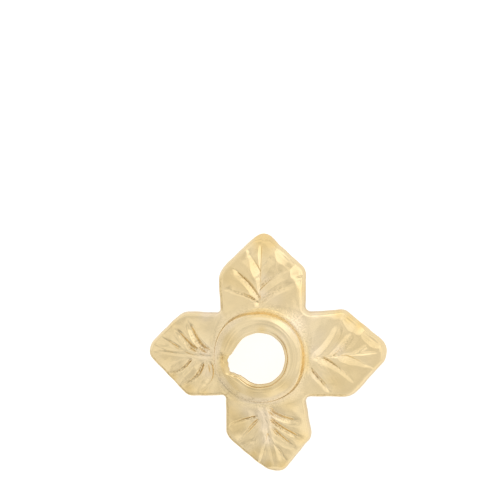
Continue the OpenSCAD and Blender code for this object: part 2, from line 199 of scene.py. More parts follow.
# Half the floor's width
PAPER_HALF = 400.0

# Radius where the leaves leave the hub, and where the underside's dishes end at the well's lip
ROOT_R = 2.80
DISH_ROOT_R = 2.60
# Radius of the well's lip, and how far it stands below the leaves' underside
LIP_R = 2.40
LIP_DROP = 0.10
# How far in from the margin the dishes start
DISH_IN = 0.50

# Fineness of the mesh: gaps between rows at a midrib and at a margin, columns from a midrib to
# the shoulder, steps over it and round a corner of the outline, gap between the hub's rings,
# steps round the rim, up to the dish and over it, and rings of the well
ROW_STEP = 0.055
MARGIN_STEP = 0.085
COLUMNS = 34
SHOULDER_STEPS = 8
ARC_STEPS = 28
HUB_STEP = 0.042
RIM_STEPS = 7
SLOPE_STEPS = 8
DISH_STEPS = 14
WELL_RINGS = 24

# Direction that the bright side lies in, seen from above
NORTH_EAST = np.array([math.sqrt(0.5), math.sqrt(0.5)])


def smooth(x):
    """Soft step from 0 to 1 as x goes from 0 to 1: 3 x squared minus 2 x cubed."""
    x = np.clip(x, 0, 1)
    return x * x * (3 - 2 * x)


def eased(values):
    """Each value averaged with its neighbours: half of itself and a quarter of either."""
    return np.convolve(np.pad(values, 1, mode="edge"), [0.25, 0.5, 0.25], mode="valid")


def turned(points, quarters):
    """Points turned by a number of quarter turns counter-clockwise."""
    c, s = [(1, 0), (0, 1), (-1, 0), (0, -1)][quarters % 4]
    x, y = points[..., 0], points[..., 1]
    return np.stack([x * c - y * s, x * s + y * c], -1)


def radius_of(points):
    """Distance of each point from the axis."""
    return np.hypot(points[..., 0], points[..., 1])


def spot(points, x, y, r):
    """Soft round spot: e to the power of minus the squared distance from x, y in radii."""
    return np.exp(-((points[..., 0] - x) ** 2 + (points[..., 1] - y) ** 2) / r ** 2)


def ripple(points, wavelength, seed, waves=14):
    """Uneven surface of about -1 to 1: the sum of plane sine waves over the root of twice their
    number, each with a seeded direction and phase and about the length asked for."""
    rng = np.random.default_rng(seed)
    turn = rng.uniform(0, 2 * math.pi, waves)
    wave = 2 * math.pi / (wavelength * rng.uniform(0.7, 1.35, waves))
    phase = rng.uniform(0, 2 * math.pi, waves)
    x, y = points[..., 0][..., None], points[..., 1][..., None]
    heights = np.sin(wave * (x * np.cos(turn) + y * np.sin(turn)) + phase)
    return heights.sum(-1) / math.sqrt(waves * 2)


def rounding(corner, before, after, radius):
    """Evenly stepped arc that touches both sides of a corner. Its centre lies on the line that
    halves the corner, at radius / sin(half angle)."""
    u, v = before - corner, after - corner
    u, v = u / np.linalg.norm(u), v / np.linalg.norm(v)
    half = math.acos(float(u @ v)) / 2
    middle = (u + v) / np.linalg.norm(u + v)
    centre = corner + middle * radius / math.sin(half)
    start = corner + u * radius / math.tan(half) - centre
    end = corner + v * radius / math.tan(half) - centre
    t = np.linspace(0, 1, ARC_STEPS + 1)[:, None]
    chord = start + (end - start) * t
    return centre + radius * chord / np.linalg.norm(chord, axis=1, keepdims=True)


class Margin:
    """Closed line round the four leaves at their widest, read by the length along it."""

    def __init__(self):
        """Straight lines from corner to corner, each corner rounded: a leaf's notch first and then
        its outline's corners. Tips and notches are lengths at the middle of a rounding, with the
        first notch again at the end, once round the line."""
        corners = []
        for leaf in range(4):
            corners.append(NOTCHES[leaf])
            for corner in OUTLINES[leaf]:
                corners.append(np.append(turned(corner[:2], leaf), corner[2]))
        corners = np.array(corners)
        line = np.concatenate([
            rounding(corners[i, :2], corners[i - 1, :2], corners[(i + 1) % 16, :2], corners[i, 2])
            for i in range(16)])
        self.closed = np.vstack([line, line[:1]])
        gaps = np.linalg.norm(np.diff(self.closed, axis=0), axis=1)
        self.length_at = np.concatenate([[0], np.cumsum(gaps)])
        self.length = self.length_at[-1]
        middles = self.length_at[np.arange(16) * (ARC_STEPS + 1) + ARC_STEPS // 2]
        self.tips = middles[2::4]
        self.notches = np.append(middles[::4], self.length + middles[0])

    def at(self, s):
        """Point of the line at length s, plus a slight hand-filed waver: three sine waves."""
        s = np.mod(s, self.length)
        point = np.stack([np.interp(s, self.length_at, self.closed[:, 0]),
                          np.interp(s, self.length_at, self.closed[:, 1])], -1)
        turn = 2 * math.pi * s / self.length
        waver = 0.016 * np.sin(19 * turn + 1.0) + 0.012 * np.sin(31 * turn + 4.0)
        waver = waver + 0.008 * np.sin(53 * turn)
        return point * (1 + waver / radius_of(point))[..., None]

    def inward(self, s):
        """Unit vector into the metal: the direction along the line, turned to its left."""
        along = self.at(s + 0.06) - self.at(s - 0.06)
        along /= np.linalg.norm(along, axis=-1, keepdims=True)
        return np.stack([-along[..., 1], along[..., 0]], -1)


def row_share(leaf, half, out, tip_out):
    """Share of the margin where a row ends: between those of the veins beside it."""
    veins = VEINS[leaf][half]
    at, share = [ROOT_R] + [v[0] for v in veins], [0] + [v[1] for v in veins]
    return np.interp(out, at + [tip_out], share + [1])


def lit_margin(leaf, half, share, inward):
    """For each row how squarely the margin faces the bright side, from -1 to 1; how deep it lies in
    a lens, half a sine wave along it; how much ledge it has; and how much wider its rounding is."""
    faces = -(inward @ NORTH_EAST)
    lenses = [np.sin(math.pi * np.clip((share - start) / (end - start), 0, 1))
              for where, side, start, end in LENSES if (where, side) == (leaf, half)]
    lens = np.max(lenses, axis=0) if lenses else 0 * share
    lit = smooth((faces - 0.62) / 0.20) * bool(lenses)
    lit = lit * smooth((1 - share) / 0.10) * smooth((share - 0.22) / 0.10)
    return faces, lens, lit, 0.08 * smooth(faces * 1.4) * bool(lenses)


def shaded_edge_line(from_edge, faces):
    """Painted shade: a dark thin line inside the margins that face away from the light, a bell
    curve across.
    """
    return smooth((-0.45 - faces) / 0.3)[:, None] * np.exp(-((from_edge - 0.15) / 0.07) ** 2)


def lobe_steps(leaf, half, out, tip_out):
    """Tilt of each lobe: it climbs evenly from one vein to the next and steps down across it, as if
    it overlapped the next one."""
    at, height = [ROOT_R], [0.0]
    for v in VEINS[leaf][half]:
        at += [v[0] - 0.07, v[0] + 0.07]
        height += [v[6] / 2, -v[6] / 2]
    return np.interp(out, at + [tip_out], height + [0.0])


def lobe_shade(leaf, half, out, tip_out):
    """Painted shade on each lobe: a deep tone even between two veins, and none from the last one
    on.
    """
    each = [v[9] for v in VEINS[leaf][half]] + [0]
    at, tone = [ROOT_R], [each[0]]
    for i, v in enumerate(VEINS[leaf][half]):
        at += [v[0] - 0.05, v[0] + 0.05]
        tone += each[i:i + 2]
    return np.interp(out, at + [tip_out], tone + [0.0])


def nearest(plan, curve):
    """For each point the distance to a line of points, how far along the line its nearest place is,
    from 0 to 1, and its side, 1 to the left of the line and -1 to the right."""
    best = np.full(plan.shape[:2], 1e9)
    along = np.zeros(plan.shape[:2])
    side = np.ones(plan.shape[:2])
    pieces = len(curve) - 1
    for i in range(pieces):
        p, d = curve[i], curve[i + 1] - curve[i]
        rel = plan - p
        t = np.clip((rel @ d) / (d @ d), 0, 1)
        dist = radius_of(rel - t[..., None] * d)
        near = dist < best
        best = np.where(near, dist, best)
        along = np.where(near, (i + t) / pieces, along)
        side = np.where(near, np.sign(d[0] * rel[..., 1] - d[1] * rel[..., 0]), side)
    return best, along, side


def in_order(ring):
    """Directions from the axis to a ring's points, in order, so that no two lines to the axis
    cross: each angle becomes the mean of the highest up to it and the lowest from it on, and is
    averaged with its neighbours where that changes it."""
    found = np.unwrap(np.arctan2(ring[:, 1], ring[:, 0]))
    turn = (np.maximum.accumulate(found) + np.minimum.accumulate(found[::-1])[::-1]) / 2
    even = np.linspace(0, 2 * math.pi, len(turn), endpoint=False)
    beside = range(-2, 3)
    mean = even + np.mean([np.roll(turn - even, k) for k in beside], axis=0)
    changed = np.any([np.roll(turn != found, k) for k in beside], axis=0)
    turn = np.where(changed, mean, turn)
    return np.stack([np.cos(turn), np.sin(turn)], -1), turn


def painted_light_tones(points):
    """Warm and deep tone painted on the plating as painted reflections, painted highlights (warm
    below 0) and painted shade: the sums of soft round spots.
    """
    warm = deep = 0.0
    for x, y, r, more_warm, more_deep in PAINTED_LIGHT_SPOTS:
        here = spot(points, x, y, r)
        warm, deep = warm + more_warm * here, deep + more_deep * here
    return np.clip(warm, -1, 1), np.clip(deep, 0, 1)


def hole_edge(turn):
    """Radius of the thread hole by direction, torn slightly in the chip."""
    edge = np.interp(np.degrees(turn), *HOLE_EDGE.T, period=360)
    ragged = 0.008 * np.sin(11 * turn + 2.0) + 0.02 * np.sin(37 * turn) * (edge > 1.62)
    return edge + ragged


def dents(flat):
    """Depth of the dents in the hub's top: the sum of soft oval hollows."""
    depth = 0.0
    for x, y, along_x, along_y, deepest in HUB_DENTS:
        off = ((flat[..., 0] - x) / along_x) ** 2 + ((flat[..., 1] - y) / along_y) ** 2
        depth = depth + deepest * np.exp(-off)
    return depth


def hub_marks(flat):
    """Satin in the corner where the hub meets the leaves and round the dent, and pits in the dent
    and on the rubbed places of the rim."""
    x, y = flat[..., 0], flat[..., 1]
    north_east = np.clip((x + y) / 2.5, -5, 1)
    corner = smooth((radius_of(flat) - 2.30) / 0.20) * (0.45 + 0.05 * north_east)
    dent = 0.8 * np.exp(-(((x + 2.2) / 0.3) ** 2 + (y / 0.35) ** 2))
    pits = 0.0
    for px, py, r, strength in HUB_PITS:
        pits = pits + strength * spot(flat, px, py, r)
    return np.maximum(corner, dent), np.clip(pits, 0, 1)


class Cap:
    """Surface of the whole cap, worked out from the sizes as arrays of points."""

    def __init__(self, sizes):
        """Starts with the margin's line and the dome, and with no points and faces."""
        self.sizes = sizes
        self.margin = Margin()
        self.falls = self.tip_falls()
        self.points, self.faces = [], []
        # The warm and deep marks carry painted reflections, painted highlights and painted shade
        self.marks = {"satin": [], "pits": [], "warm": [], "deep": []}
        self.count = 0

    def tip_falls(self):
        """Directions of the leaves' tips in degrees, and the dome's fall towards each: as much as
        brings the tip's rim to the ground, divided by its radius squared."""
        turn, fall = [], []
        for leaf in range(-2, 4):
            s = self.margin.tips[leaf % 4]
            tip = turned(self.margin.at(s) + self.margin.inward(s) * self.sizes.rim_in, -leaf)
            turn.append(90 * leaf + math.degrees(math.atan2(tip[1], tip[0])))
            fall.append((self.sizes.dome_top - self.sizes.rim_drop) / float(tip @ tip))
        return turn, fall

    def dome(self, p):
        """Height of the dome: its top less the square of the radius times a fall that turns evenly
        from one tip's to the next."""
        angle = np.degrees(np.arctan2(p[..., 1], p[..., 0]))
        return self.sizes.dome_top - np.interp(angle, *self.falls) * (p ** 2).sum(-1)

    def add(self, plan, height, satin=0.0, pits=0.0, warm=0.0, deep=0.0):
        """Keeps a block of points with their marks and gives their numbers in the block's shape."""
        shape = plan.shape[:-1]
        flat = np.concatenate([plan, height[..., None]], -1).reshape(-1, 3)
        self.points.append(flat)
        for kept, values in zip(self.marks.values(), (satin, pits, warm, deep)):
            kept.append(np.broadcast_to(values, shape).reshape(-1))
        ids = self.count + np.arange(len(flat)).reshape(shape)
        self.count += len(flat)
        return ids

    def sheet(self, ids, closed=False):
        """Four-sided faces between neighbouring rows and columns of a grid of numbers."""
        if closed:
            ids = np.concatenate([ids, ids[:, :1]], 1)
        a, b, c, d = ids[:-1, :-1], ids[:-1, 1:], ids[1:, 1:], ids[1:, :-1]
        self.faces.append(np.stack([a, b, c, d], -1).reshape(-1, 4))

    def rows(self, leaf, start, end, tip_out):
        """Places of the rows between two veins, close enough at the midrib and at both margins."""
        needed = (end - start) / ROW_STEP
        for half in (0, 1):
            length = abs(self.margin.tips[leaf] - self.margin.notches[leaf + half])
            ends = row_share(leaf, half, np.array([start, end]), tip_out)
            needed = max(needed, length * float(ends[1] - ends[0]) / MARGIN_STEP)
        return np.linspace(start, end, math.ceil(needed), endpoint=False)

    def lengths(self, leaf, half, out, tip_out):
        """Length along the margin where each row ends: the row's share of the way from notch to
        tip."""
        notch, share = self.margin.notches[leaf + half], row_share(leaf, half, out, tip_out)
        return notch + (self.margin.tips[leaf] - notch) * share

    def half_leaf(self, leaf, half, out, root, tip, reach):
        """Grid of one half leaf, rows along its midrib and columns from midrib to margin. A row
        turns evenly round the axis from its place on the midrib to the shoulder, and crosses the
        rounded shoulder straight."""
        tip_out = ROOT_R + reach
        share = row_share(leaf, half, out, tip_out)
        s = self.lengths(leaf, half, out, tip_out)
        edge, inward = self.margin.at(s), self.margin.inward(s)
        faces, lens, lit, wider = lit_margin(leaf, half, share, inward)
        shoulder_w = self.sizes.shoulder_w
        round_w = shoulder_w + wider + TIP_ROLLS[leaf] * smooth((share - 0.86) / 0.14)
        width = np.maximum(round_w, shoulder_w * (1 + 1.9 * lit))
        to_tip = tip_out - out
        inset = np.minimum(np.minimum(width, 0.8 * to_tip), radius_of(edge) - ROOT_R)
        rib = root + (tip - root) * ((out - ROOT_R) / reach)[:, None]
        a, b = turned(rib, -leaf), turned(edge + inward * inset[:, None], -leaf)
        f = np.linspace(0, 1, COLUMNS + 1)
        r = radius_of(a)[:, None] * (1 - f) + radius_of(b)[:, None] * f
        turn = (np.arctan2(a[:, 1], a[:, 0])[:, None] * (1 - f)
                + np.arctan2(b[:, 1], b[:, 0])[:, None] * f)
        field = turned(np.stack([r * np.cos(turn), r * np.sin(turn)], -1), leaf)
        distance = to_tip[:, None] * (1 - f) + inset[:, None] * f
        g = (1 - np.linspace(0, 1, SHOULDER_STEPS + 1)[1:]) ** 1.35
        band = edge[:, None] + inward[:, None] * (inset[:, None] * g)[..., None]
        plan = np.concatenate([field, band], 1)
        from_edge = np.concatenate([distance, inset[:, None] * g], 1)
        return plan, from_edge, faces, (round_w, lit, lens)

    def shoulder(self, lobe, from_edge, round_w, lit, lens):
        """Height over the dome near the margin, where the lobe runs out to a tight quarter round
        that is upright at the margin. On the bright side a narrow ledge lies inside it, and facets
        rise from the ledge to the lobe, each widest at the middle of its lens."""
        ledge_w, ledge_drop = self.sizes.ledge_w, self.sizes.ledge_drop
        rise = 0.34 * np.clip(from_edge - ledge_w, 0, None)
        rise = rise - 0.03 * np.minimum(from_edge / ledge_w, 1)
        rise -= 0.03 * np.exp(-((from_edge - ledge_w) / 0.05) ** 2)
        facet = rise + 0.06 - (ledge_drop + 0.06) * lens[:, None] ** 0.7
        lower = (lobe + facet - np.sqrt((lobe - facet) ** 2 + 0.018 ** 2)) / 2
        top = lobe + (lower - lobe) * lit[:, None]
        u = 1 - np.clip(from_edge / round_w[:, None], 0, 1)
        round_off = 0.75 * (1 - np.sqrt(1 - u ** 2)) + 0.25 * u ** 2
        return top - (self.sizes.margin_drop + top) * round_off

    def vein(self, plan, curve, depth, half_w, lean, satin, pits=0.0, taper=0.5):
        """Cut of one vein, and the satin and the pits in it: a V groove in the distance from the
        vein's line, with one wall wider than the other, as much shallower as narrower towards its
        end, in a soft valley that leaves the lobes swollen."""
        best, along, side = nearest(plan, curve)
        fade = (1 - taper * along) * (1 - 0.15 * along)
        end = smooth((1 - along) / 0.30)
        w = half_w * self.sizes.vein_width * (1 - taper * along) * (1 + lean * side)
        groove = np.clip(1 - best / np.maximum(w, 0.03), 0, 1)
        groove = np.where(groove > 0.9, groove - 0.6 * (groove - 0.9), groove)
        valley = np.exp(-(best / 0.5) ** 2)
        swell = min(depth, 1.3) * (1 - 0.4 * along) * self.sizes.lobe_swell * valley
        cut = end * (depth * fade * self.sizes.vein_depth * groove + swell)
        floor = smooth(groove * 1.6) * smooth(1.25 - along) * end
        return cut, satin * floor, pits * floor

    def free_cuts(self, plan, leaf, half, root_side):
        """Cuts with ends of their own: each follows the parabola through its three places, and the
        lobes on its two sides stand at different heights, most so right beside it."""
        t = np.linspace(0, 1, 9)[:, None]
        found = []
        for where, side, *places, depth, half_w, lean, satin, step, pits in CUTS:
            if (where, side) == (leaf, half):
                a, b, c = np.array(places).reshape(3, 2)
                curve = a * (1 - t) * (1 - 2 * t) + b * 4 * t * (1 - t) + c * t * (2 * t - 1)
                best, along, hand = nearest(plan, curve)
                held = smooth(along / 0.25) * smooth((1 - along) / 0.2)
                rise = 0.5 * step * hand * root_side * smooth(best / 0.07)
                rise = rise * np.exp(-(best / 0.5) ** 2) * held
                lean = lean * root_side
                found.append((rise, self.vein(plan, curve, depth, half_w, lean, satin, pits, 0.2)))
        return found

    def half_surface(self, leaf, half, out, root, tip, reach):
        """Grid, height and marks of one half leaf. Its relief is the lobes' tilt less the deepest
        cut at each place, fading out at the hub, with a slight cast ripple."""
        tip_out = ROOT_R + reach
        plan, from_edge, faces, section = self.half_leaf(leaf, half, out, root, tip, reach)
        _, depth, half_w, lean, satin, band = MIDRIBS[leaf]
        rib_line = root + (tip - root) * np.linspace(0, 1, 12)[:, None]
        side = 1 if half else -1
        cuts = self.vein(plan, rib_line, depth, half_w, -lean, satin)
        beside = smooth((nearest(plan, rib_line)[0] - band) / 0.45) if band else 1.0
        for at, _, depth, half_w, lean, satin, _, pits, taper, _ in VEINS[leaf][half]:
            curve = plan[int(np.argmin(np.abs(out - at))), :COLUMNS + 1:3]
            deeper = self.vein(plan, curve, depth, half_w, lean * side, satin, pits, taper)
            cuts = [np.maximum(a, b * beside) for a, b in zip(cuts, deeper)]
        relief = 0.4 * self.sizes.lobe_swell + lobe_steps(leaf, half, out, tip_out)[:, None]
        for rise, deeper in self.free_cuts(plan, leaf, half, side):
            cuts = [np.maximum(a, b) for a, b in zip(cuts, deeper)]
            relief = relief + rise
        cut, satin, pits = cuts
        relief = relief - cut
        relief *= np.clip(2.6 * (radius_of(plan) - ROOT_R + 0.05), 0.1, 1)
        relief += 0.012 * ripple(plan, 1.3, 5 + leaf) + 0.003 * ripple(plan, 0.45, 15 + leaf)
        height = self.dome(plan) + self.shoulder(relief, from_edge, *section)
        near_root = smooth((3.35 - radius_of(plan)) / 0.5) * 0.5
        on_lobe = smooth((np.linspace(0, 1.22, plan.shape[1]) - 0.10) / 0.30) * (1 - smooth(satin))
        # Painted shade on the lobe on each vein's root side, kept off satin and away from the
        # margin
        deep = lobe_shade(leaf, half, out, tip_out)[:, None] * on_lobe
        deep = deep * smooth((from_edge - 0.2) / 0.2)
        # Painted shade: a dark thin line inside the margins facing away from the light, also given
        # as pits
        edge_shade = shaded_edge_line(from_edge, faces)
        marks = np.maximum(satin, near_root), np.maximum(pits, 0.8 * edge_shade), np.maximum(deep, edge_shade)
        return plan, height, np.stack(marks, -1)

    def leaf(self, leaf):
        """Both halves of one leaf as one grid from margin to margin, with its heights, marks and
        tip, and the lengths along the margin where its rows end."""
        tip_s = self.margin.tips[leaf]
        tip = self.margin.at(tip_s)
        across = MIDRIBS[leaf][0]
        root = turned(np.array([math.sqrt(ROOT_R ** 2 - across ** 2), across]), leaf)
        reach = float(np.linalg.norm(tip - root))
        tip_out = ROOT_R + reach
        knots = sorted({ROOT_R, tip_out} | {v[0] for half in VEINS[leaf] for v in half})
        out = np.concatenate([self.rows(leaf, a, b, tip_out) for a, b in zip(knots, knots[1:])])
        halves = [self.half_surface(leaf, half, out, root, tip, reach) for half in (0, 1)]
        plan, height, marks = [np.concatenate([first[:, :0:-1], second], 1)
                               for first, second in zip(*halves)]
        # Painted reflections, highlights and shade from the spots, joined with the painted shade of
        # the lobes and margins
        warm, deep = painted_light_tones(plan)
        marks = marks[..., 0], marks[..., 1], warm, np.maximum(deep, marks[..., 2])
        ends = [self.lengths(leaf, half, out, tip_out) for half in (0, 1)]
        margin_s = np.concatenate([ends[0], [tip_s], ends[1][:0:-1]])
        return plan, height, marks, tip, margin_s

    def zipper(self, upper, upper_turn, lower, lower_turn):
        """Triangles between two rings with different counts: both are walked round together in the
        order of their directions, and each step closes one triangle."""
        upper, lower = np.append(upper, upper[0]), np.append(lower, lower[0])
        full = 2 * math.pi
        turns = np.concatenate([upper_turn[1:], [upper_turn[0] + full],
                                lower_turn[1:], [lower_turn[0] + full]])
        up = (np.arange(len(turns)) < len(upper_turn))[np.argsort(turns, kind="stable")]
        i, j = np.cumsum(up), np.cumsum(~up)
        self.faces.append(np.stack([upper[i - 1], upper[i], lower[j]], -1)[up])
        self.faces.append(np.stack([lower[j - 1], upper[i], lower[j]], -1)[~up])

    def build(self):
        """Whole cap: the leaves, the hub from their roots, the underside from their margins, and
        the well between both. Gives points, faces and marks."""
        root, margin, margin_s = self.add_leaves()
        hub, hub_turn = self.add_hub(root)
        lip, direction, lip_turn = self.add_underside(margin, margin_s)
        well, well_turn = self.add_well(direction[::3], lip_turn[::3])
        self.zipper(well[0], well_turn, lip, lip_turn)
        self.zipper(hub, hub_turn, well[-1], well_turn)
        marks = {name: np.concatenate(values) for name, values in self.marks.items()}
        return np.concatenate(self.points), self.faces, marks

    def add_leaves(self):
        """Leaves, closed at the tips by triangles and joined at the notches, where neighbours share
        their first rows' outer columns. Gives the points along the roots and along the margins, and
        the lengths of the latter."""
        side = COLUMNS + SHOULDER_STEPS
        blocks, tips, lengths = [], [], []
        for leaf in range(4):
            plan, height, marks, tip, margin_s = self.leaf(leaf)
            blocks.append(self.add(plan, height, *marks))
            tip_z = self.dome(tip[None]) - self.sizes.margin_drop
            tips.append(int(self.add(tip[None], tip_z)[0]))
            lengths.append(margin_s)
        for leaf in range(4):
            after = blocks[(leaf + 1) % 4]
            blocks[leaf][0, side + COLUMNS:] = after[0, side - COLUMNS::-1]
        root, margin = [], []
        for block, tip in zip(blocks, tips):
            self.sheet(block[:, ::-1])
            last = block[-1]
            self.faces.append(np.stack([last[1:], last[:-1], np.full(len(last) - 1, tip)], -1))
            root.append(block[0, side - COLUMNS:side + COLUMNS])
            margin.append(np.concatenate([block[:, 0], [tip], block[:0:-1, -1]]))
        return np.concatenate(root), np.concatenate(margin), np.concatenate(lengths)

    def add_hub(self, root):
        """Hub, from the leaves' roots up its wall and over to the hole's edge, in rings that follow
        the section. Gives its last ring and the ring's directions."""
        x, y, _ = np.concatenate(self.points)[root].T
        turn = np.unwrap(np.arctan2(y, x))
        t = np.concatenate([[0], np.cumsum(np.hypot(*np.diff(HUB_SECTION, axis=0).T))])
        steps = np.arange(0, t[-1], HUB_STEP)
        inset, below = [eased(np.interp(steps, t, column)) for column in HUB_SECTION.T]
        radius = self.sizes.hub_r - inset
        ring = np.stack([np.cos(turn), np.sin(turn)], -1)
        pulled, orange_reflection_sides = self.hub_radius(radius, inset, turn)
        flat = pulled[..., None] * ring[None]
        start = self.dome(self.sizes.hub_r * ring)
        lip = 0.2 + 0.8 * smooth(0.6 + np.cos(turn + math.pi / 4))
        below = below[:, None]
        below = np.where(inset[:, None] > 1.12, 0.022 + (below - 0.022) * lip[None], below)
        height = self.sizes.hub_top - below
        blend = smooth((below - 0.35) / 0.42)
        height = height * (1 - blend) + (start + (0.77 - below) * 0.9) * blend
        height += 0.006 * ripple(flat, 1.3, 31) * smooth((2.6 - radius) / 0.2)[:, None]
        height -= dents(flat)
        on_wall = smooth((radius_of(flat) - 2.30) / 0.1) * smooth((2.84 - radius_of(flat)) / 0.1)
        warm, deep = painted_light_tones(flat)
        # Painted reflection: the wall is painted orange on its north and east sides, where it
        # reflects the leaves, and paler on the others
        warm = np.clip(warm - on_wall * (0.7 - 1.5 * orange_reflection_sides[None]), -1, 1)
        hub = self.add(flat, height, *hub_marks(flat), warm, deep)
        self.sheet(np.concatenate([root[None], hub]), closed=True)
        return hub[-1], turn

    def hub_radius(self, radius, inset, turn):
        """Radius of the hub's rings by direction, and how much each direction is one of the two
        sides where the wall is painted orange, a painted reflection of the leaves in it. The rings
        take up the hole's edge, the top is slightly off the axis, and the wall is widest north and
        east and steepest south-west."""
        hole = hole_edge(turn)
        to_hole = smooth((2.35 - radius) / 0.8)[:, None]
        pulled = radius[:, None] + (hole[None] - radius[-1]) * to_hole
        shift = 0.05 * np.sin(turn) - 0.02 * np.cos(turn)
        pulled = pulled + shift[None] * smooth((radius - 1.6) / 0.6)[:, None]
        from_east = np.mod(turn + math.pi, 2 * math.pi) - math.pi
        orange_reflection_sides = (np.exp(-((turn - 1.47) / 0.55) ** 2)
                        + np.exp(-((from_east + 0.03) / 0.48) ** 2))
        north_east = np.cos(turn - math.pi / 4)
        wider = 0.04 * orange_reflection_sides + 0.05 * np.clip(north_east, 0, 1)
        wider = wider - 0.17 * smooth(0.8 - 1.1 * north_east)
        pulled -= np.interp(inset, [0, 0.27, 0.62], [0, 1, 0])[:, None] * wider[None]
        return pulled, orange_reflection_sides

    def add_underside(self, margin, margin_s):
        """Underside: a quarter round from the margin to the rim's crest, half a cosine wave up from
        there, and dishes a metal's thickness under the dome, with a slight hollow by a sine
        squared. Gives its last ring, at the well's lip, and the ring's directions."""
        size = self.sizes
        edge, inward = self.margin.at(margin_s), self.margin.inward(margin_s)
        rim = edge + inward * size.rim_in
        rim_z = np.maximum(0, self.dome(rim) - size.rim_drop)
        edge_z = np.concatenate(self.points)[margin][:, 2]
        loops, heights = [], []
        for k in np.linspace(0, 1, RIM_STEPS + 1)[1:]:
            turn = k * math.pi / 2
            loops.append(edge + inward * (size.rim_in * (1 - math.cos(turn))))
            heights.append(edge_z + (rim_z - edge_z) * math.sin(turn))
        dish = edge + inward * DISH_IN
        for k in np.linspace(0, 1, SLOPE_STEPS + 1)[1:]:
            p = rim + (dish - rim) * k
            rise = self.dome(p) - size.metal - rim_z
            loops.append(p)
            heights.append(rim_z + rise * (0.5 - 0.5 * math.cos(k * math.pi)))
        direction, lip_turn = in_order(dish)
        dish = direction * radius_of(dish)[:, None]
        for k in np.linspace(0, 1, DISH_STEPS + 1)[1:]:
            p = dish + (direction * DISH_ROOT_R - dish) * k
            loops.append(p)
            heights.append(self.dome(p) - size.metal + 0.05 * math.sin(math.pi * k) ** 2)
        plan, height = np.stack(loops), np.stack(heights)
        inside = smooth((np.linalg.norm(plan - edge[None], axis=-1) - 0.1) / 0.3)
        height = height + inside * (0.014 * ripple(plan, 1.5, 41) + 0.005 * ripple(plan, 0.5, 42))
        for x, y, r, depth in UNDER_PITS:
            height += depth * spot(plan, x, y, r)
        under = self.add(plan, height)
        self.sheet(np.concatenate([margin[None], under])[:, ::-1], closed=True)
        return under[-1], direction, lip_turn

    def add_well(self, direction, turn):
        """Well, from its lip up to the hole's lower edge, in rings that follow the section, pushed
        out as far as the hole's edge is chipped. Gives its rings and directions."""
        size = self.sizes
        lip_z = float(self.dome(np.array([LIP_R, 0.0]))) - size.metal - LIP_DROP
        neck_z = size.hub_top - size.hole_depth
        r, share = WELL_SECTION[::-1].T
        t = np.concatenate([[0], np.cumsum(np.hypot(np.diff(r), np.diff(share) * 0.8))])
        steps = np.linspace(0, t[-1], WELL_RINGS)
        r, share = np.interp(steps, t, r)[:, None], np.interp(steps, t, share)[:, None]
        chip = hole_edge(turn) - size.hole_r
        radius = np.maximum(r + chip[None] * smooth(share / 0.35), r)
        flat = radius[..., None] * direction[None]
        height = lip_z + (neck_z - lip_z) * share + 0.008 * ripple(flat * 1.3, 0.6, 51)
        well = self.add(flat, height, satin=0.55 * smooth(share / 0.5))
        self.sheet(well[:, ::-1], closed=True)
        return well, turn


def mesh_object(name, points, faces, marks):
    """Puts points in millimetres, faces and the points' marks into a mesh, without points that no
    face uses and faces that have a corner twice."""
    faces = [block[(block != np.roll(block, 1, axis=1)).all(1)] for block in faces]
    sizes = np.concatenate([np.full(len(b), b.shape[1]) for b in faces])
    used, loops = np.unique(np.concatenate([b.ravel() for b in faces]), return_inverse=True)
    mesh = bpy.data.meshes.new(name)
    mesh.vertices.add(len(used))
    mesh.vertices.foreach_set("co", (points[used] * MM).astype(np.float32).ravel())
    mesh.loops.add(len(loops))
    mesh.loops.foreach_set("vertex_index", loops.astype(np.int32))
    mesh.polygons.add(len(sizes))
    starts = np.concatenate([[0], np.cumsum(sizes)[:-1]])
    mesh.polygons.foreach_set("loop_start", starts.astype(np.int32))
    mesh.polygons.foreach_set("use_smooth", np.ones(len(sizes), bool))
    for key, values in marks.items():
        layer = mesh.attributes.new(key, "FLOAT", "POINT")
        layer.data.foreach_set("value", values[used].astype(np.float32))
    mesh.update(calc_edges=True)
    mesh.validate(verbose=False)
    obj = bpy.data.objects.new(name, mesh)
    bpy.context.scene.collection.objects.link(obj)
    return obj


class Net:
    """Shader nodes of one material or world, added one by one."""

    def __init__(self, owner):
        """Switches the owner's nodes on."""
        owner.use_nodes = True
        self.tree = owner.node_tree

    def feed(self, socket, value):
        """Links a socket to another node's output, or sets it to a number or a colour."""
        if isinstance(value, bpy.types.NodeSocket):
            self.tree.links.new(value, socket)
        else:
            socket.default_value = value

    def node(self, kind, output, inputs, **settings):
        """Adds a node, feeds its inputs and gives one of its outputs."""
        node = self.tree.nodes.new(kind)
        for key, value in settings.items():
            setattr(node, key, value)
        for key, value in inputs.items():
            self.feed(node.inputs[key], value)
        return node.outputs[output]

    def noise(self, where, scale, detail, rough=0.5):
        """Uneven pattern of about 0 to 1 with lumps about 1 / scale wide."""
        return self.node("ShaderNodeTexNoise", "Fac", {
            "Vector": where, "Scale": scale, "Detail": detail, "Roughness": rough})

    def spread(self, value, low, high, to_low, to_high, kind="LINEAR"):
        """Value moved from one range to another and held inside it, evenly or by a soft step."""
        return self.node("ShaderNodeMapRange", "Result", {
            "Value": value, "From Min": low, "From Max": high, "To Min": to_low,
            "To Max": to_high}, interpolation_type=kind)

    def plus(self, a, b):
        """Sum of two values."""
        return self.node("ShaderNodeMath", 0, {0: a, 1: b}, operation="ADD")

    def times(self, a, b):
        """Product of two values."""
        return self.node("ShaderNodeMath", 0, {0: a, 1: b}, operation="MULTIPLY")

    def blend(self, factor, a, b):
        """Colour that goes evenly from a to b as the factor goes from 0 to 1."""
        a, b = [c if isinstance(c, bpy.types.NodeSocket) else (*c, 1) for c in (a, b)]
        return self.node("ShaderNodeMix", "Result", {"Factor": factor, "A": a, "B": b},
                         data_type="RGBA")


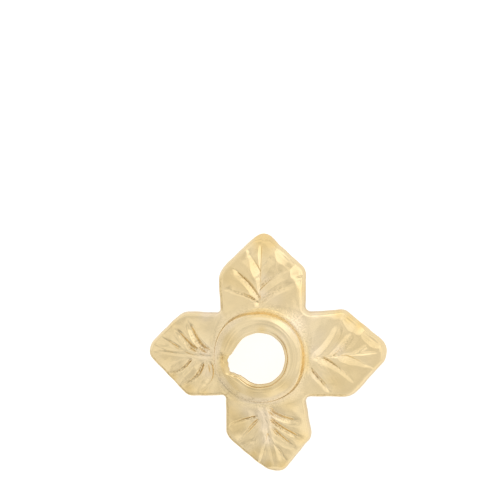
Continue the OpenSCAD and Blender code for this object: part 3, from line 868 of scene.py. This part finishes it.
def gold_plate(finish):
    """Polished pale gold plate: a metal whose colour, gloss and fine ripple change slightly from
    place to place. The cap's marks say where it is rough satin and pitted, where it is painted
    warmer or paler as painted reflections and highlights, and where it is deeper in tone as painted
    shade."""
    material = bpy.data.materials.new("pale_gold_plate")
    net = Net(material)
    shader = net.tree.nodes["Principled BSDF"]
    where = net.node("ShaderNodeTexCoord", "Object", {})
    satin, pits, warm, deep = [net.node("ShaderNodeAttribute", "Fac", {}, attribute_name=name)
                               for name in ("satin", "pits", "warm", "deep")]
    patches = net.spread(net.noise(where, 420, 3), 0.35, 0.65, 0, 1)
    colour = net.blend(patches, finish.plate, finish.plate_deep)
    # Painted reflections and highlights: the warm mark turns the plate orange or pale; painted
    # shade: the deep mark turns it brown
    colour = net.blend(net.spread(warm, 0, -1, 0, 0.8), colour, finish.pale_highlight_plate)
    colour = net.blend(net.spread(warm, 0, 1, 0, 1), colour, finish.warm_reflection_plate)
    colour = net.blend(net.times(deep, 0.85), colour, finish.brown_shade_plate)
    specks = net.spread(net.noise(where, 7500, 1, 0.6), 0.50, 0.60, 0, 0.25)
    colour = net.blend(net.times(satin, specks), colour, finish.pit)
    # The pits mark also carries the painted shade line inside the margins that face away from the
    # light
    grains = net.plus(net.noise(where, 9500, 2, 0.6), net.times(pits, 0.07))
    dark = net.times(pits, net.spread(grains, 0.52, 0.64, 0, 1))
    colour = net.blend(net.times(dark, 0.55), colour, finish.pit)
    dull, bright = finish.roughness * 1.3, finish.roughness * 0.7
    gloss = net.spread(net.noise(where, 900, 4), 0.3, 0.7, bright, dull)
    satin_grain = net.times(satin, finish.satin_bump)
    grain = net.times(net.noise(where, 9000, 2, 0.6), satin_grain)
    waves = net.times(net.noise(where, 1800, 3), finish.ripple_bump)
    bump = net.node("ShaderNodeBump", "Normal", {
        "Strength": 1.0, "Distance": MM, "Height": net.plus(grain, waves)})
    net.feed(shader.inputs["Base Color"], colour)
    net.feed(shader.inputs["Metallic"], 1.0)
    rough = net.plus(gloss, net.times(satin, 0.10))
    net.feed(shader.inputs["Roughness"], rough)
    net.feed(shader.inputs["Normal"], bump)
    return material


def number(name, description, default, **limits):
    """Setting that is a number."""
    return bpy.props.FloatProperty(name=name, description=description, default=default, **limits)


def colour(name, description, default):
    """Setting that is a colour."""
    return bpy.props.FloatVectorProperty(
        name=name, description=description, default=default, subtype="COLOR", min=0, max=1)


class CapSizes(bpy.types.PropertyGroup):
    """Sizes of the cap in millimetres"""
    dome_top: number("Dome height", "Height the leaves' dome would reach over the axis", 2.74)
    metal: number("Metal", "Thickness of the dished leaves", 0.62)
    shoulder_w: number("Shoulder width", "Width of the rounded shoulder along a margin", 0.17)
    ledge_w: number("Ledge width", "Width of the ledge along the margins on the bright side", 0.30)
    ledge_drop: number("Ledge drop", "How far that ledge lies below the dome", 0.09)
    margin_drop: number("Margin drop", "How far the widest line lies below the dome", 0.44)
    rim_drop: number("Rim drop", "How far the rim reaches below the dome", 0.80)
    rim_in: number("Rim inset", "How far the rim's crest lies in from the margin", 0.20)
    vein_depth: number("Vein depth", "Depth of a vein of full strength at its root", 0.13)
    vein_width: number("Vein width", "Factor on the half width of every vein", 1.0)
    lobe_swell: number("Lobe swell", "How much the lobes swell between the veins", 0.12)
    hub_r: number("Hub radius", "Radius of the hub where it meets the leaves", 2.76)
    hub_top: number("Hub height", "Height of the hub's top", 3.20)
    hole_r: number("Hole radius", "Radius of the thread hole", 1.42)
    hole_depth: number("Hole depth", "From the hub's top to the thread hole's lower edge", 0.60)


class CapFinish(bpy.types.PropertyGroup):
    """Colours and gloss of the plating, with heights in millimetres"""
    plate: colour("Plate", "Colour of the pale gold plate", (0.93, 0.755, 0.46))
    plate_deep: colour("Deep plate", "Colour of its slightly deeper patches", (0.92, 0.73, 0.42))
    # Painted light: the warm colour is a painted reflection of gold in gold, the pale one a painted
    # highlight, and the deepest one painted shade
    warm_reflection_plate: colour("Warm plate", "Colour of its most orange places", (0.95, 0.70, 0.32))
    pale_highlight_plate: colour("Pale plate", "Colour of its palest places", (0.94, 0.78, 0.56))
    brown_shade_plate: colour("Deepest plate", "Colour of its deepest places", (0.80, 0.61, 0.31))
    pit: colour("Pits", "Colour of the dark casting pits", (0.30, 0.19, 0.07))
    roughness: number("Roughness", "Mean roughness of the polished plate", 0.16, min=0, max=1)
    satin_bump: number("Satin grain", "Height of the grain in satin places", 0.05)
    ripple_bump: number("Ripple", "Height of the fine polishing ripple", 0.018)


class CapStage(bpy.types.PropertyGroup):
    """Light tent, floor and camera, with lengths in millimetres"""
    sky: number("Tent light", "Brightness of the white tent overhead", 0.90)
    bright_side: number("Bright side", "Extra light from the tent's bright side", 0.27)
    folds: number("Tent folds", "How much the tent's light varies from place to place", 0.14)
    paper_glow: number("Paper glow", "Light that the paper gives the cap", 0.20)
    paper_white: number("Paper white", "Light that the paper gives the camera", 0.70)
    field: number("Field", "Width of the camera's field at the cap", 29.10)
    distance: number("Camera distance", "Distance of the camera from the cap", 170.0)


class OBJECT_OT_bead_cap_metal(bpy.types.Operator):
    """Build the cast cap and give it its plating"""
    bl_idname = "object.bead_cap_metal"
    bl_label = "Cast Cap"

    def execute(self, context):
        """Makes the cap's mesh, puts it on the body it rides on, and hides the solid it stands for.
        """
        scene = context.scene
        points, faces, marks = Cap(scene.cap_sizes).build()
        cap = mesh_object("cast_bead_cap", points, faces, marks)
        cap.data.materials.append(gold_plate(scene.cap_finish))
        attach(cap, "root")
        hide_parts("bead_cap")
        return {"FINISHED"}


class OBJECT_OT_bead_cap_stage(bpy.types.Operator):
    """Set up the floor, the light tent and the camera"""
    bl_idname = "object.bead_cap_stage"
    bl_label = "Stage"

    def execute(self, context):
        """Makes the stage's three parts and shows the light's values unchanged."""
        scene = context.scene
        self.floor(scene, scene.cap_stage)
        self.tent(scene, scene.cap_stage)
        self.camera(scene, scene.cap_stage)
        scene.view_settings.view_transform = "Standard"
        scene.view_settings.look = "None"
        return {"FINISHED"}

    def floor(self, scene, stage):
        """Square of white paper, lit from below: it gives the camera more light than it gives the
        cap."""
        half = PAPER_HALF * MM
        corners = [(-half, -half, 0), (half, -half, 0), (half, half, 0), (-half, half, 0)]
        mesh = bpy.data.meshes.new("floor")
        mesh.from_pydata(corners, [], [(0, 1, 2, 3)])
        floor = bpy.data.objects.new("floor", mesh)
        scene.collection.objects.link(floor)
        paper = bpy.data.materials.new("white_paper")
        net = Net(paper)
        shader = net.tree.nodes["Principled BSDF"]
        seen = net.node("ShaderNodeLightPath", "Is Camera Ray", {})
        net.feed(shader.inputs["Base Color"], (0.85, 0.85, 0.85, 1))
        net.feed(shader.inputs["Roughness"], 0.9)
        net.feed(shader.inputs["Emission Color"], (1, 1, 1, 1))
        glow = net.spread(seen, 0, 1, stage.paper_glow, stage.paper_white)
        net.feed(shader.inputs["Emission Strength"], glow)
        floor.data.materials.append(paper)

    def tent(self, scene, stage):
        """White tent: the sky's strength, a change at each named place by a soft step of how
        closely a direction points there, and soft folds."""
        scene.world = bpy.data.worlds.new("light_tent")
        net = Net(scene.world)
        background = net.tree.nodes["Background"]
        direction = net.node("ShaderNodeTexCoord", "Generated", {})
        strength = stage.sky
        for towards, start, full, change in [(*BRIGHT_PLACE, stage.bright_side)] + TENT_PLACES:
            near = net.node("ShaderNodeVectorMath", "Value", {0: direction, 1: towards},
                            operation="DOT_PRODUCT")
            near = net.spread(near, start, full, 0, change, "SMOOTHSTEP")
            strength = net.plus(near, strength)
        folds = net.noise(direction, 1.9, 1)
        folds = net.spread(folds, 0.35, 0.65, -stage.folds, stage.folds)
        net.feed(background.inputs["Color"], (1, 1, 1, 1))
        net.feed(background.inputs["Strength"], net.plus(strength, folds))

    def camera(self, scene, stage):
        """Camera 10 degrees off the vertical, towards +X and +Y, aimed at the middle of the
        photographed field, with +Y up in the picture."""
        place = (Vector(CAMERA_FROM) + Vector(TO_CAMERA) * stage.distance) * MM
        back = (place - Vector(CAMERA_TARGET) * MM).normalized()
        up = (Vector((0, 1, 0)) - back * back.y).normalized()
        axes = Matrix((up.cross(back), up, back)).transposed().to_4x4()
        data = bpy.data.cameras.new("camera")
        data.sensor_width = 36
        data.lens = 36 * stage.distance / stage.field
        data.clip_start, data.clip_end = 0.01, 10
        camera = bpy.data.objects.new("camera", data)
        camera.matrix_world = Matrix.Translation(place) @ axes
        scene.collection.objects.link(camera)
        scene.camera = camera


class VIEW3D_PT_bead_cap(bpy.types.Panel):
    """Lists the cap's operators and sizes"""
    bl_label = "Bead Cap"
    bl_idname = "VIEW3D_PT_bead_cap"
    bl_space_type = "VIEW_3D"
    bl_region_type = "UI"
    bl_category = "Bead Cap"

    def draw(self, context):
        """Shows each group's settings in a box of its own, and the two operators below."""
        for name in GROUPS:
            box = self.layout.box()
            group = getattr(context.scene, name)
            for key in group.__annotations__:
                box.prop(group, key)
        self.layout.operator(OBJECT_OT_bead_cap_metal.bl_idname)
        self.layout.operator(OBJECT_OT_bead_cap_stage.bl_idname)


GROUPS = {"cap_sizes": CapSizes, "cap_finish": CapFinish, "cap_stage": CapStage}
CLASSES = (*GROUPS.values(), OBJECT_OT_bead_cap_metal, OBJECT_OT_bead_cap_stage,
           VIEW3D_PT_bead_cap)


def register():
    """Adds the settings, the operators and the panel."""
    for cls in CLASSES:
        bpy.utils.register_class(cls)
    for name, group in GROUPS.items():
        setattr(bpy.types.Scene, name, bpy.props.PointerProperty(type=group))


def unregister():
    """Takes the settings, the operators and the panel out again."""
    for name in GROUPS:
        delattr(bpy.types.Scene, name)
    for cls in reversed(CLASSES):
        bpy.utils.unregister_class(cls)


def main():
    """Builds the cap and its stage."""
    register()
    bpy.ops.object.bead_cap_metal()
    bpy.ops.object.bead_cap_stage()


if __name__ == "__main__":
    main()
